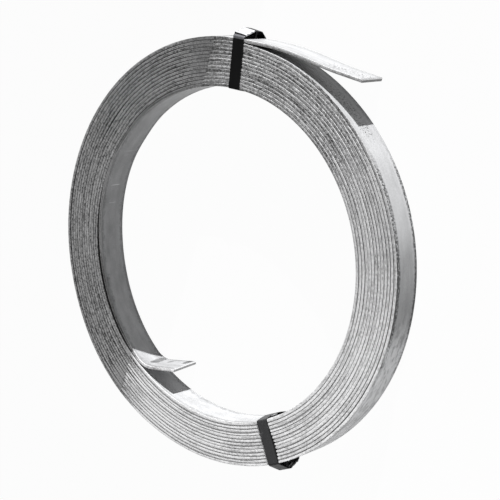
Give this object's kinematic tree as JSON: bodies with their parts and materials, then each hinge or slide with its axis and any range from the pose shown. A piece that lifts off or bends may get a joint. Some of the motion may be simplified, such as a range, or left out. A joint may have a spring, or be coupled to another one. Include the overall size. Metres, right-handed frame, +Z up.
{
  "type": "coil of galvanized steel strip",
  "caption": "Coil of flat galvanized steel strip lying on its end, with both strip ends sprung free and two steel straps crimped round it.",
  "frame": {"origin": "on the floor at the coil's axis, with the coil lying on its back end", "axes": "+Z up along the coil's axis, out of its front end; +Y is 12 o'clock on that end, where the outer end of the strip springs off towards +X"},
  "size_m": [0.5123, 0.5263, 0.0412],
  "materials": {
    "zinc_strip": "hot-dip galvanized, dull, grainy rolled edges",
    "strap_steel": "black lacquered steel strapping",
    "seal_steel": "zinc-plated crimped sheet"
  },
  "bodies": {
    "root": {"strip_coil": "zinc_strip", "top_strap": "strap_steel", "bottom_strap": "strap_steel", "top_seal": "seal_steel", "bottom_seal": "seal_steel"}
  },
  "joints": []
}
